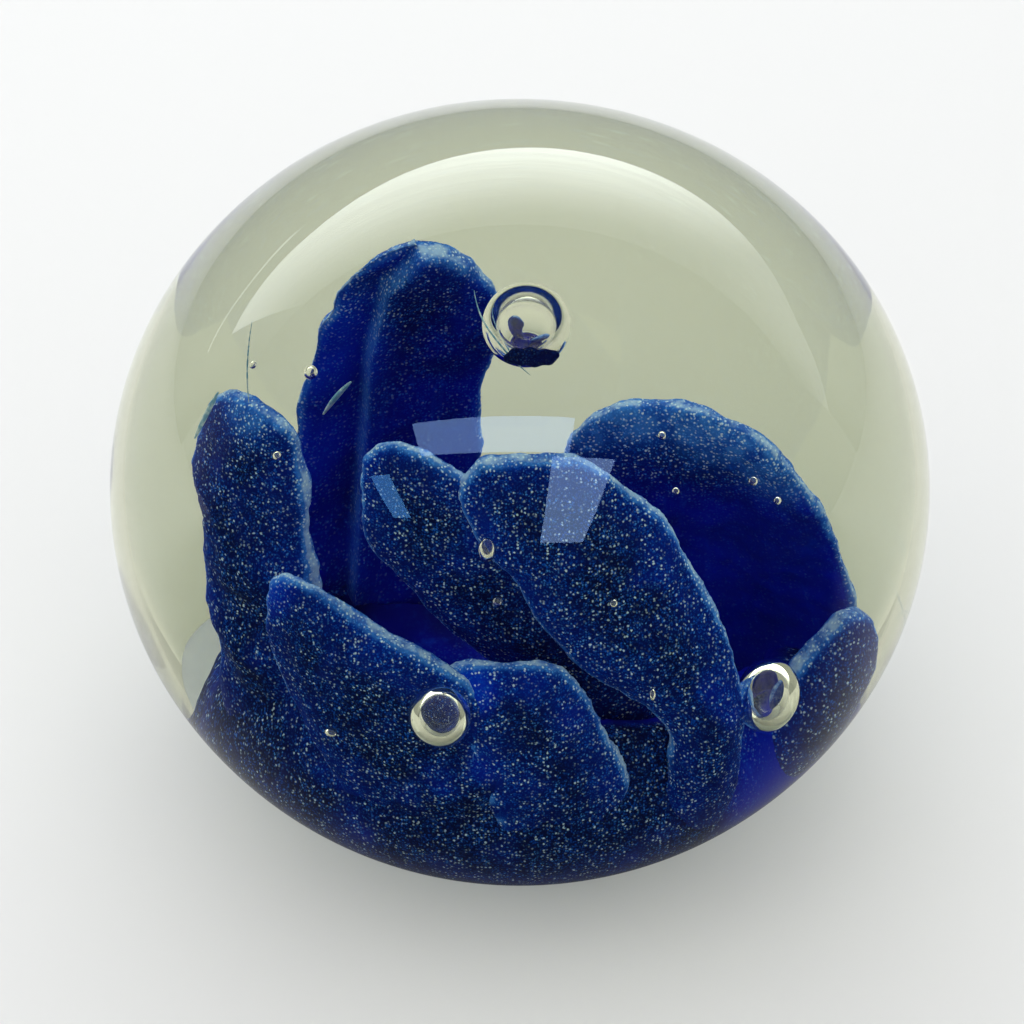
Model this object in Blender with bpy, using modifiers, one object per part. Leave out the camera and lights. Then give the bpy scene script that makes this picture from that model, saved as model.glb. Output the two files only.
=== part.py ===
"""Glass paperweight: a clear dome, ground flat underneath, cased over a cobalt flower.

Units are metres and +Z is up. The origin is the centre of the flat ground base.
Azimuths are measured from +X towards +Y, so 270 degrees is the front of the flower.
The pieces are the gathers and petals in the order that a maker adds them: a clear stub,
a cobalt ground on it, petals that rise from the ground, a clear gather over the flower,
and the outer gather, whose outside is the dome.
"""

import math
from dataclasses import dataclass

import bmesh
import bpy
from mathutils import Vector

OBJECT_NAME = "paperweight"

# The dome, whose outline is half an ellipse above its widest level and another below.
DOME_RADIUS = 0.0400
CROWN_RISE = 0.0368  # widest level to the top
EQUATOR_HEIGHT = 0.0280  # ground base to the widest level
BASE_RADIUS = 0.0268
BASE_ARRIS = 0.0006  # the broken edge round the ground base

# The gather over the flower, whose outline carries on down as the stub.
GATHER_RADIUS = 0.0305
GATHER_RISE = 0.0290  # widest level to the top
GATHER_CENTRE = 0.0240  # ground base to the widest level
STUB_RADIUS = 0.0171  # at the ground base
STUB_HEIGHT = 0.0055

# The cobalt ground: a shallow dish under the petals.
GROUND_FOOT_RADIUS = 0.0160
GROUND_RIM_RADIUS = 0.0175
GROUND_HEIGHT = 0.0060
GROUND_FLOOR = 0.0032  # thickness in the middle of the dish
GROUND_LIP = 0.0022  # thickness of its rim

# The petals
PETAL_THICKNESS = 0.0030
PETAL_ROOT_DEPTH = 0.0020  # how far a root starts below the ground's rim
TAPER_POWER = 1.6  # higher keeps a petal wide for longer before its tip
EDGE_FULLNESS = 0.7  # 1 makes a petal's section an ellipse, less makes its edges blunter
TIP_SHARE = 0.12  # what is left of the width and thickness at the very tip

CLEARANCE = 0.0003  # between pieces that touch

# Facets
DOME_STATIONS = 18
GATHER_STATIONS = 10
TURN_STEPS = 40
PETAL_ROWS = 9
PETAL_LOOP = 14
BELL_SEGMENTS = 16
BELL_RINGS = 10

CLEAR = (0.80, 0.84, 0.74)
COBALT = (0.010, 0.016, 0.270)
COBALT_DEEP = (0.006, 0.008, 0.160)
GLASS_IOR = 1.5


@dataclass(frozen=True)
class Petal:
    """One petal: lengths in metres, angles in degrees."""

    name: str
    root_azimuth: float
    root_reach: float  # axis to the middle of the root
    tip_azimuth: float
    tip_reach: float
    tip_height: float  # above the ground base
    half_width: float
    root_share: float  # the root's width as a share of the full width
    root_facing: float  # azimuth that the outer side faces at the root
    tip_facing: float
    cup: float  # half the arc that the section bends through
    belly: float  # outward bow at mid height
    roundness: float  # 1 is a pointed tip and 4 a blunt one


PETALS = (
    Petal("petal_left", 203, 0.0163, 191, 0.0198, 0.0380, 0.0060, 0.8, 225, 225, 30, 0.0018, 2.6),
    Petal("petal_back_left", 128, 0.0125, 124, 0.0122, 0.0390, 0.0066, 0.8, 95, 95, 20, 0.0010, 2.3),
    Petal("petal_back_right", 14, 0.0120, -6, 0.0106, 0.0355, 0.0094, 0.8, 95, 85, 25, 0.0010, 2.6),
    Petal("petal_right", 335, 0.0178, 343, 0.0215, 0.0205, 0.0062, 0.8, 310, 310, 30, 0.0010, 2.4),
    Petal("petal_front_right", 315, 0.0186, 274, 0.0130, 0.0410, 0.0090, 0.3, 295, 275, 20, 0.0030, 2.8),
    Petal("petal_centre", 302, 0.0105, 227, 0.0150, 0.0408, 0.0075, 0.8, 285, 250, 15, 0.0010, 1.8),
    Petal("petal_front_left", 254, 0.0173, 225, 0.0226, 0.0315, 0.0090, 0.8, 260, 240, 20, 0.0010, 2.0),
    Petal("petal_front", 287, 0.0185, 268, 0.0200, 0.0275, 0.0090, 0.7, 275, 270, 25, 0.0010, 2.4),
)


@dataclass(frozen=True)
class PetalBell:
    """Air trapped against a petal's outer side."""

    name: str
    petal: str
    share: float  # of the petal's height
    side: float  # -1 and 1 are the petal's edges
    stand: float  # centre to the petal's middle surface
    radius: float


PETAL_BELLS = (
    PetalBell("air_bell_front", "petal_front", 0.80, -0.80, 0.0030, 0.0022),
    PetalBell("air_bell_right", "petal_front_right", 0.33, 1.03, 0.0025, 0.0023),
)

# Air trapped between the two gathers, at the crown.
CROWN_BELL_RADIUS = 0.0035
CROWN_BELL_AZIMUTH = 274.0
CROWN_BELL_REACH = 0.0073
CROWN_BELL_SUNK = 0.0026  # the gather's skin down to the bell's centre


def direction(azimuth):
    """The level unit vector at an azimuth in degrees."""
    angle = math.radians(azimuth)
    return Vector((math.cos(angle), math.sin(angle), 0.0))


def between(start, end, share):
    """The value at a share of the way from start to end."""
    return start + (end - start) * share


def drop_to_foot(radius, centre, foot):
    """How far below the height centre an outline closes, if it is foot wide at Z = 0."""
    return centre / math.sqrt(1.0 - (foot / radius) ** 2)


def outline_angle(rise, drop, offset):
    """The ellipse angle of a level, given as its height over the widest level."""
    return math.asin(min(1.0, offset / (rise if offset > 0.0 else drop)))


def egg_profile(radius, rise, drop, centre, low, high, stations):
    """Points of an outline down from its upper level to its lower one.

    It is radius wide at the height centre, and closes rise above that and drop below it.
    """
    top = outline_angle(rise, drop, high - centre)
    bottom = outline_angle(rise, drop, low - centre)
    points = []
    for i in range(stations + 1):
        angle = between(top, bottom, i / stations)
        semi_axis = rise if angle > 0.0 else drop
        points.append((radius * math.cos(angle), centre + semi_axis * math.sin(angle)))
    return points


def dome_profile():
    """The dome's outline, from its top down to the ground base."""
    crown = EQUATOR_HEIGHT + CROWN_RISE
    drop = drop_to_foot(DOME_RADIUS, EQUATOR_HEIGHT, BASE_RADIUS)
    outline = egg_profile(
        DOME_RADIUS, CROWN_RISE, drop, EQUATOR_HEIGHT, BASE_ARRIS, crown, DOME_STATIONS
    )
    return outline + [
        (BASE_RADIUS - 0.4 * BASE_ARRIS, 0.4 * BASE_ARRIS),
        (BASE_RADIUS - 1.4 * BASE_ARRIS, 0.0),
    ]


def gather_profile(low, high, growth=0.0):
    """The first gather's outline between two levels, grown by a clearance."""
    radius, rise = GATHER_RADIUS + growth, GATHER_RISE + growth
    drop = drop_to_foot(GATHER_RADIUS, GATHER_CENTRE, STUB_RADIUS) + growth
    return egg_profile(radius, rise, drop, GATHER_CENTRE, low, high, GATHER_STATIONS)


def ground_profile(growth=0.0):
    """The ground's outline: a shallow dish with a rounded rim, grown by a clearance."""
    base = STUB_HEIGHT + CLEARANCE
    low, rim, floor = base - growth, base + GROUND_HEIGHT + growth, base + GROUND_FLOOR + growth
    outer = GROUND_RIM_RADIUS + growth
    inner = GROUND_RIM_RADIUS - GROUND_LIP - growth
    round_off = 0.35 * GROUND_LIP
    return [
        (0.0, floor),
        (0.5 * inner, between(floor, rim, 0.10)),
        (0.8 * inner, between(floor, rim, 0.45)),
        (inner, rim - 0.5 * round_off),
        (inner + round_off, rim),
        (outer - round_off, rim),
        (outer, rim - round_off),
        (outer, between(rim, low, 0.4)),
        (GROUND_FOOT_RADIUS + growth, low),
        (0.0, low),
    ]


def petal_root_height():
    """The level at which every petal's root starts."""
    return STUB_HEIGHT + CLEARANCE + GROUND_HEIGHT - PETAL_ROOT_DEPTH


def petal_point(petal, share, side, stand):
    """A point of a petal: share of its height, side across it, stand out from its middle."""
    azimuth = between(petal.root_azimuth, petal.tip_azimuth, share)
    reach = between(petal.root_reach, petal.tip_reach, share)
    reach += petal.belly * math.sin(math.pi * share)
    centre = direction(azimuth) * reach
    centre.z = between(petal_root_height(), petal.tip_height, share)
    facing = between(petal.root_facing, petal.tip_facing, share)
    outward, across = direction(facing), direction(facing + 90.0)
    bend = math.radians(petal.cup)
    arc = petal_width(petal, share) / math.sin(bend)
    point = centre + across * (arc * math.sin(bend * side))
    point -= outward * (arc * (1.0 - math.cos(bend * side)))
    normal = outward * math.cos(bend * side) + across * math.sin(bend * side)
    return point + normal * stand


def petal_taper(petal, share):
    """The tip's rounding: 1 low down and 0 at the tip."""
    return max(0.0, 1.0 - share ** (petal.roundness * TAPER_POWER)) ** (1.0 / petal.roundness)


def petal_width(petal, share):
    """Half the petal's width at a share of its height."""
    swell = between(petal.root_share, 1.0, math.sin(math.pi * min(share, 0.5)))
    return max(petal.half_width * petal_taper(petal, share) * swell, PETAL_THICKNESS * TIP_SHARE)


def petal_row(petal, share):
    """One closed loop of points round the petal at a share of its height."""
    thinned = max(petal_taper(petal, share) ** 0.5, TIP_SHARE)
    stand = 0.5 * PETAL_THICKNESS * thinned
    points = []
    for index in range(PETAL_LOOP):
        turn = 2.0 * math.pi * index / PETAL_LOOP
        lift = math.copysign(abs(math.sin(turn)) ** EDGE_FULLNESS, math.sin(turn))
        points.append(petal_point(petal, share, math.cos(turn), stand * lift))
    return points


def petal_mesh(petal):
    """The petal as a closed loft through its rows, which close up towards the tip."""
    shares = [math.sin(0.5 * math.pi * row / PETAL_ROWS) for row in range(PETAL_ROWS + 1)]
    shape = bmesh.new()
    rows = [[shape.verts.new(point) for point in petal_row(petal, s)] for s in shares]
    for low, high in zip(rows, rows[1:]):
        for i in range(PETAL_LOOP):
            j = (i + 1) % PETAL_LOOP
            shape.faces.new((low[i], low[j], high[j], high[i]))
    shape.faces.new(rows[0][::-1])
    shape.faces.new(rows[-1])
    bmesh.ops.recalc_face_normals(shape, faces=shape.faces)
    bmesh.ops.triangulate(shape, faces=shape.faces)
    return finished_mesh(petal.name, shape)


def finished_mesh(name, shape):
    """A mesh made from a bmesh, which is freed."""
    mesh = bpy.data.meshes.new(name)
    shape.to_mesh(mesh)
    shape.free()
    return mesh


def glass(name, colour, roughness, transmission=0.0):
    """A glass finish."""
    made = bpy.data.materials.new(name)
    made.use_nodes = True
    shader = made.node_tree.nodes["Principled BSDF"]
    shader.inputs["Base Color"].default_value = (*colour, 1.0)
    shader.inputs["Roughness"].default_value = roughness
    shader.inputs["Metallic"].default_value = 0.0
    shader.inputs["IOR"].default_value = GLASS_IOR
    shader.inputs["Transmission Weight"].default_value = transmission
    return made


def add_object(name, mesh, collection, finish=None):
    """Link a mesh to a collection as a named object, smooth and finished where it shows."""
    made = bpy.data.objects.new(name, mesh)
    collection.objects.link(made)
    if finish:
        mesh.materials.append(finish)
        mesh.shade_smooth()
    return made


def turned(name, profile, collection, finish=None):
    """A solid turned about Z from a profile that runs down its outer side, axis to axis."""
    mesh = bpy.data.meshes.new(name)
    corners = [(x, 0.0, z) for x, z in profile]
    mesh.from_pydata(corners, [(i, i + 1) for i in range(len(corners) - 1)], [])
    made = add_object(name, mesh, collection, finish)
    screw = made.modifiers.new("turn", "SCREW")
    screw.axis = "Z"
    screw.steps = screw.render_steps = TURN_STEPS
    screw.use_merge_vertices = True
    screw.merge_threshold = 0.00001
    return made


def as_cutter(made):
    """Mark an object as a cutter, which is left out of the model."""
    made.hide_render = True
    made.display_type = "WIRE"
    return made


def cut(target, cutter):
    """Subtract a cutter from a solid."""
    step = target.modifiers.new("cut_" + cutter.name, "BOOLEAN")
    step.operation = "DIFFERENCE"
    step.solver = "EXACT"
    step.object = cutter


def room_round(petal, collection):
    """A cutter that stands proud of a petal all over by the clearance."""
    shape = bmesh.new()
    shape.from_mesh(petal.data)
    shape.normal_update()
    moves = [(vertex, vertex.co + vertex.normal * CLEARANCE) for vertex in shape.verts]
    for vertex, place in moves:
        vertex.co = place
    name = petal.name + "_room"
    return as_cutter(add_object(name, finished_mesh(name, shape), collection))


def outer_gather(collection, finish):
    """The outermost clear gather, open underneath round the first one."""
    bore = gather_profile(0.0, GATHER_CENTRE + GATHER_RISE + CLEARANCE, CLEARANCE)
    return turned("outer_gather", dome_profile() + bore[::-1], collection, finish)


def ground_stub(collection, finish):
    """The clear stub under the flower, whose underside is ground flat."""
    outline = [(0.0, STUB_HEIGHT)] + gather_profile(0.0, STUB_HEIGHT) + [(0.0, 0.0)]
    return turned("ground_stub", outline, collection, finish)


def petals(collection, cutters, ground_room, finish):
    """The petals and their rooms. A petal gives way to the ground and to earlier petals."""
    rooms = []
    for petal in PETALS:
        piece = add_object(petal.name, petal_mesh(petal), collection, finish)
        for room in [ground_room] + rooms:
            cut(piece, room)
        rooms.append(room_round(piece, cutters))
    return rooms


def air_bell(name, place, radius, cutters):
    """The room that a trapped air bubble takes."""
    shape = bmesh.new()
    bmesh.ops.create_uvsphere(
        shape, u_segments=BELL_SEGMENTS, v_segments=BELL_RINGS, radius=radius
    )
    bmesh.ops.translate(shape, verts=shape.verts, vec=place)
    return as_cutter(add_object(name, finished_mesh(name, shape), cutters))


def crown_bell_place():
    """The crown bell's centre, sunk below the first gather's skin."""
    place = direction(CROWN_BELL_AZIMUTH) * CROWN_BELL_REACH
    skin = GATHER_RISE * math.sqrt(1.0 - (CROWN_BELL_REACH / GATHER_RADIUS) ** 2)
    place.z = GATHER_CENTRE + skin - CROWN_BELL_SUNK
    return place


def petal_bell_place(bell):
    """A petal bell's centre."""
    petal = next(p for p in PETALS if p.name == bell.petal)
    return petal_point(petal, bell.share, bell.side, bell.stand)


def air_bells(cutters):
    """All the trapped air, each bell broken into a petal's room or the gather's skin."""
    bells = [air_bell(b.name, petal_bell_place(b), b.radius, cutters) for b in PETAL_BELLS]
    return bells + [air_bell("air_bell_crown", crown_bell_place(), CROWN_BELL_RADIUS, cutters)]


def inner_gather(collection, rooms, finish):
    """The clear gather that fills the flower, with room for the petals and the air."""
    low = STUB_HEIGHT + CLEARANCE
    outline = gather_profile(low, GATHER_CENTRE + GATHER_RISE) + [(0.0, low)]
    made = turned("inner_gather", outline, collection, finish)
    for room in rooms:
        cut(made, room)
    return made


def new_collection(name):
    """A collection linked to the scene."""
    made = bpy.data.collections.new(name)
    bpy.context.scene.collection.children.link(made)
    return made


def main():
    """Build the paperweight from its stub out to its outermost gather."""
    for old in list(bpy.data.objects):
        bpy.data.objects.remove(old, do_unlink=True)
    pieces, cutters = new_collection(OBJECT_NAME), new_collection("cutters")
    clear = glass("clear_glass", CLEAR, 0.02, 1.0)
    frit = glass("cobalt_frit", COBALT, 0.25)
    deep = glass("cobalt_deep", COBALT_DEEP, 0.15)
    ground_stub(pieces, clear)
    turned("cobalt_ground", ground_profile(), pieces, deep)
    ground_room = as_cutter(turned("ground_room", ground_profile(CLEARANCE), cutters))
    petal_rooms = petals(pieces, cutters, ground_room, frit)
    inner_gather(pieces, [ground_room] + petal_rooms + air_bells(cutters), clear)
    outer_gather(pieces, clear)


main()
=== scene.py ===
"""Looks for a hand-made glass paperweight: a clear dome over a cobalt frit flower.

Lengths are metres and +Z is up. The origin is the centre of the flat ground base.
"""

import logging
import math
from dataclasses import dataclass, field
from enum import Enum

import bmesh
import bpy
import numpy as np
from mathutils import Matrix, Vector, kdtree


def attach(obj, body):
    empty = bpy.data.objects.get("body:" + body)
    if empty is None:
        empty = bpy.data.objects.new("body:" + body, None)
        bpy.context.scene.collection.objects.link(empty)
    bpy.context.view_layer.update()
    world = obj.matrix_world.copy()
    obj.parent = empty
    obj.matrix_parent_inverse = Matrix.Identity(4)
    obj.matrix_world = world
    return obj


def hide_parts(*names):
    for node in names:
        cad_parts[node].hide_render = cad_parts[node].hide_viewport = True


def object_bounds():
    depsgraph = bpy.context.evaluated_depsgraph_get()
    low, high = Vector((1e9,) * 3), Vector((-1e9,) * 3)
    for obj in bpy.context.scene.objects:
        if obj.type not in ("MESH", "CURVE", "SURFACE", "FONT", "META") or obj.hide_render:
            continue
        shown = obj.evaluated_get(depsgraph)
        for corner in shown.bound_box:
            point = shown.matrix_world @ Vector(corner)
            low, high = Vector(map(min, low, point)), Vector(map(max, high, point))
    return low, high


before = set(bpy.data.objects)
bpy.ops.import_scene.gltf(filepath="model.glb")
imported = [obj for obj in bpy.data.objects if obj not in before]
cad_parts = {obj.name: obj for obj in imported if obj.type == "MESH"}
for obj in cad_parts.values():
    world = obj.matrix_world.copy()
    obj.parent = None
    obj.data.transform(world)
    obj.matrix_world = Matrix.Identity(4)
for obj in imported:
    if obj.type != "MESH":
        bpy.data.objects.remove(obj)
CAD_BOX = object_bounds()

LOG = logging.getLogger("paperweight")
MM = 0.001
BODY = "root"

Piece = bpy.types.Object
Material = bpy.types.Material
Mesh = bpy.types.Mesh
Rows = np.ndarray
Pairs = tuple[tuple[float, float], ...]
Place = tuple[float, float, float]

# The sockets of a Mix node that mixes colours.
MIX_START, MIX_END, MIX_RESULT = 6, 7, 2

# Closer than this is one place, for a mesh's own vertices.
SAME_PLACE = 1e-6


class Slot(Enum):
    """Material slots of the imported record."""

    CLEAR = "clear_glass"
    FRIT = "cobalt_frit"
    DEEP = "cobalt_deep"


# ---- shader helpers


class Value:
    """A shader socket that takes part in Python arithmetic."""

    def __init__(self, graph: "Graph", socket: bpy.types.NodeSocket) -> None:
        """Wrap a socket.

        Args:
            graph: The graph that owns the socket.
            socket: The output socket.
        """
        self.graph = graph
        self.socket = socket

    def _maths(self, operation: str, *others: "Value | float") -> "Value":
        """Add one Math node.

        Args:
            operation: The Math node's operation.
            others: The operands after this one.

        Returns:
            The node's result.
        """
        inputs = dict(enumerate((self, *others)))
        return self.graph.add("ShaderNodeMath", {"operation": operation}, inputs)

    def __add__(self, other: "Value | float") -> "Value":
        """Sum."""
        return self._maths("ADD", other)

    __radd__ = __add__

    def __mul__(self, other: "Value | float") -> "Value":
        """Product."""
        return self._maths("MULTIPLY", other)

    __rmul__ = __mul__

    def __sub__(self, other: "Value | float") -> "Value":
        """Difference."""
        return self._maths("SUBTRACT", other)

    def __rsub__(self, other: float) -> "Value":
        """Difference from a number."""
        return self._maths("MULTIPLY", -1.0)._maths("ADD", other)

    def __pow__(self, power: float) -> "Value":
        """Power."""
        return self._maths("POWER", power)

    def at_most(self, limit: "Value | float") -> "Value":
        """The smaller of two values."""
        return self._maths("MINIMUM", limit)

    def ramp(self, low: float, high: float, start: float = 0.0, end: float = 1.0) -> "Value":
        """Smooth step from start to end.

        Args:
            low: Value that gives start.
            high: Value that gives end.
            start: Result at and before low.
            end: Result at and past high.

        Returns:
            The eased value.
        """
        settings = {"interpolation_type": "SMOOTHSTEP"}
        inputs = {"Value": self, "From Min": low, "From Max": high, "To Min": start, "To Max": end}
        return self.graph.add("ShaderNodeMapRange", settings, inputs)


class Graph:
    """The node tree of one material or world."""

    def __init__(self, tree: bpy.types.NodeTree) -> None:
        """Start from an empty tree.

        Args:
            tree: The node tree to fill.
        """
        self.tree = tree
        tree.nodes.clear()

    def add(
        self,
        kind: str,
        settings: dict | None = None,
        inputs: dict | None = None,
        output: str | int | None = 0,
    ) -> Value:
        """Add a node.

        Args:
            kind: The node's type.
            settings: Attributes, which are set before the sockets are filled.
            inputs: Socket names or positions, each with a number, tuple or Value.
            output: The output socket to return, or None for a node that has no output.

        Returns:
            The chosen output.
        """
        node = self.tree.nodes.new(kind)
        for name, value in (settings or {}).items():
            setattr(node, name, value)
        for name, value in (inputs or {}).items():
            socket = node.inputs[name]
            if isinstance(value, Value):
                self.tree.links.new(value.socket, socket)
            else:
                socket.default_value = value
        return Value(self, None if output is None else node.outputs[output])

    def blend(self, share: Value | float, start: "Value | tuple", end: "Value | tuple") -> Value:
        """Mix two colours.

        Args:
            share: 0 gives start and 1 gives end.
            start: First colour.
            end: Second colour.

        Returns:
            The mixed colour.
        """
        inputs = {0: share, MIX_START: rgba(start), MIX_END: rgba(end)}
        return self.add("ShaderNodeMix", {"data_type": "RGBA"}, inputs, MIX_RESULT)

    def attribute(self, name: str) -> Value:
        """A painted mesh attribute as a number."""
        return self.add("ShaderNodeAttribute", {"attribute_name": name}, None, "Fac")

    def place(self, stretch: Place = (1.0, 1.0, 1.0)) -> Value:
        """Object coordinates, stretched along each axis."""
        inputs = {"Vector": self.add("ShaderNodeTexCoord", None, None, "Object"), "Scale": stretch}
        return self.add("ShaderNodeMapping", {"vector_type": "POINT"}, inputs)

    def along(self, axis: str, coordinates: str = "Object") -> Value:
        """One of the coordinates, along X, Y or Z."""
        place = self.add("ShaderNodeTexCoord", None, None, coordinates)
        return self.add("ShaderNodeSeparateXYZ", None, {0: place}, axis)

    def noise(
        self, vector: Value, size: float, detail: float = 2.0, roughness: float = 0.5
    ) -> Value:
        """Noise with features of a given size in metres."""
        inputs = {"Vector": vector, "Scale": 1.0 / size, "Detail": detail, "Roughness": roughness}
        return self.add("ShaderNodeTexNoise", None, inputs, 0)

    def grains(self, vector: Value, size: float) -> tuple[Value, Value]:
        """Fill space with cells, one for each grain of frit.

        Args:
            vector: Where the cells are read.
            size: Their size.

        Returns:
            The distance to the cell's centre, and a random number for each cell.
        """
        inputs = {"Vector": vector, "Scale": 1.0 / size}
        distance = self.add("ShaderNodeTexVoronoi", None, inputs, "Distance")
        colour = Value(self, distance.socket.node.outputs["Color"])
        return distance, self.add("ShaderNodeSeparateColor", None, {0: colour}, 0)

    def mirrored(self) -> Value:
        """Tell light that the dome's skin mirrors from light that comes through the glass.

        Returns:
            1 for a mirrored ray and 0 for any other.
        """
        glossy = self.add("ShaderNodeLightPath", None, None, "Is Glossy Ray")
        passes = Value(self, glossy.socket.node.outputs["Transmission Depth"])
        return glossy * (1.0 - passes.at_most(1.0))

    def finish(self, shader: Value) -> None:
        """Send a shader to the surface."""
        self.add("ShaderNodeOutputMaterial", None, {"Surface": shader}, None)


def rgba(colour: "Value | tuple") -> "Value | tuple":
    """A colour with full alpha, or a Value as it is."""
    return colour if isinstance(colour, Value) else (*colour, 1.0)


def new_material(name: str) -> tuple[Material, Graph]:
    """Start a material.

    Args:
        name: The material's name.

    Returns:
        The material and its empty graph.
    """
    made = bpy.data.materials.new(name)
    made.use_nodes = True
    return made, Graph(made.node_tree)


# ---- finishes


@dataclass(frozen=True)
class ClearGlass:
    """Clear glass with a faint straw-green cast, which lets daylight through to the flower."""

    name: str = "clear_glass_look"
    tint: tuple = (0.690, 0.712, 0.512)
    daylight: tuple = (0.97, 0.98, 0.97)
    ior: float = 1.5
    roughness: float = 0.0

    def make(self) -> Material:
        """Build the material.

        Returns:
            The material.
        """
        made, graph = new_material(self.name)
        inputs = {
            "Base Color": (*self.tint, 1.0),
            "Roughness": self.roughness,
            "IOR": self.ior,
            "Transmission Weight": 1.0,
        }
        glass = graph.add("ShaderNodeBsdfPrincipled", None, inputs)
        passing = graph.add("ShaderNodeBsdfTransparent", None, {"Color": (*self.daylight, 1.0)})
        shadow = graph.add("ShaderNodeLightPath", None, None, "Is Shadow Ray")
        graph.finish(graph.add("ShaderNodeMixShader", None, {0: shadow, 1: glass, 2: passing}))
        return made


@dataclass(frozen=True)
class CobaltFrit:
    """Cobalt glass rolled in frit: speckled outside, smooth and streaked inside, with a painted
    glow and painted highlights.
    """

    name: str = "cobalt_frit_look"
    night: tuple = (0.0004, 0.0032, 0.048)
    navy: tuple = (0.0003, 0.0110, 0.230)
    royal: tuple = (0.0006, 0.0160, 0.560)
    mid: tuple = (0.001, 0.110, 0.800)
    dust_and_sheen: tuple = (0.07, 0.30, 0.90)
    pale: tuple = (0.60, 0.80, 1.00)
    depth: tuple = (0.0003, 0.0026, 0.440)
    streak: tuple = (0.0010, 0.036, 0.700)
    grain_size: float = 0.00017
    speck_size: float = 0.00022
    fleck_size: float = 0.00028
    smear: float = 0.00022
    cloud_size: float = 0.0050

    def make(self) -> Material:
        """Build the material.

        Returns:
            The material.
        """
        made, graph = new_material(self.name)
        place = graph.place()
        frit, rim, light, margin = (graph.attribute(n) for n in ("frit", "rim", "light", "margin"))
        cloud = graph.noise(place, self.cloud_size, 2.0)
        patch = graph.noise(place, self.cloud_size * 0.30, 3.0, 0.6)

        # The glass under the frit, from near black to royal blue.
        # Painted glow: the margin lightens the glass near each petal's edges, and on the bowl
        # towards the bottom.
        share = cloud.ramp(0.45, 0.70) * 0.6 + margin * 0.7
        base = graph.blend(share.at_most(1.0), self.night, self.navy)
        # Painted glow: royal blue where the light patches are.
        share = cloud.ramp(0.60, 0.80) * 0.35 + light * 0.9
        base = graph.blend(share.at_most(1.0), base, self.royal)
        # Painted glow along the rims, and a little in the brightest light patches, in mid blue.
        share = rim * 0.45 + light.ramp(0.5, 1.0) * 0.12
        base = graph.blend(share.at_most(0.8), base, self.mid)

        # Grains, specks and flecks, each paler than the last, on ragged outlines.
        inputs = {"Vector": place, "Scale": 1.0 / self.fleck_size}
        torn = graph.add("ShaderNodeTexNoise", None, inputs, 1)
        inputs = {0: torn, 1: (self.smear,) * 3, 2: place}
        ragged = graph.add("ShaderNodeVectorMath", {"operation": "MULTIPLY_ADD"}, inputs)
        # Grains crowd and pale along the rims: partly frit, partly a painted highlight.
        crowd = (patch.ramp(0.30, 0.62, 0.25, 1.0) + rim * 0.6).at_most(1.25)
        distance, random = graph.grains(ragged, self.grain_size)
        grain = random**1.4 * distance.ramp(0.15, 0.70, 1.0, 0.0) * crowd
        base = graph.blend((grain * 0.80).at_most(1.0), base, self.mid)
        distance, random = graph.grains(ragged, self.speck_size)
        dots = distance.ramp(0.14, 0.46, 1.0, 0.0) * (random + rim * 0.5).ramp(0.35, 0.95) * crowd
        # Painted sheen: pale frost along the rims, standing for highlights on the edges.
        rim_haze_and_sheen = rim.ramp(0.30, 0.85, 0.0, 0.62) * patch.ramp(0.35, 0.60, 0.3, 1.0)
        frosted_and_sheen = graph.blend((dots * 0.85 + rim_haze_and_sheen).at_most(1.0), base, self.dust_and_sheen)
        bright = frit.ramp(0.3, 1.0, 0.25, 1.0)
        distance, random = graph.grains(ragged, self.fleck_size)
        dots = distance.ramp(0.14, 0.42, 1.0, 0.0) * (random + rim * 0.40).ramp(0.42, 0.82)
        frosted_and_sheen = graph.blend((dots * crowd * bright).at_most(1.0), frosted_and_sheen, self.pale)
        # Painted highlight: a thin pale line along the very rim.
        edge = rim.ramp(0.88, 1.0) * patch.ramp(0.38, 0.62, 0.05, 0.55) * bright
        frosted_and_sheen = graph.blend(edge, frosted_and_sheen, self.pale)

        # The smooth inner side, with long upright streaks.
        streaks = graph.noise(graph.place((1.0, 1.0, 0.08)), 0.0010, 3.0, 0.55)
        inside = graph.blend(streaks.ramp(0.52, 0.80), self.depth, self.streak)
        inside = graph.blend(cloud.ramp(0.35, 0.60, 0.60, 0.0), inside, self.night)
        # Painted glow: royal blue on the smooth side where the light patches are.
        inside = graph.blend((light * 0.8).at_most(1.0), inside, self.royal)
        colour = graph.blend(frit, inside, frosted_and_sheen)

        inputs = {"Base Color": colour, "Roughness": 0.6, "Specular IOR Level": 0.02}
        graph.finish(graph.add("ShaderNodeBsdfPrincipled", None, inputs))
        return made


SMOKE_DEPTH = (0.002, 0.003, 0.050)
SMOKE_STREAK = (0.006, 0.010, 0.110)


@dataclass(frozen=True)
class PaleThread:
    """Thin threads of blue-white glass that trail off the petals."""

    name: str = "tracer_glass_look"
    colour: tuple = (0.16, 0.36, 0.55)
    bead: tuple = (0.55, 0.68, 0.78)
    bead_size: float = 0.0006

    def make(self) -> Material:
        """Build the material.

        Returns:
            The material.
        """
        made, graph = new_material(self.name)
        beads = graph.noise(graph.place(), self.bead_size, 2.0)
        colour = graph.blend(beads.ramp(0.4, 0.65), self.colour, self.bead)
        inputs = {"Base Color": colour, "Roughness": 0.5, "Specular IOR Level": 0.05}
        graph.finish(graph.add("ShaderNodeBsdfPrincipled", None, inputs))
        return made


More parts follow.
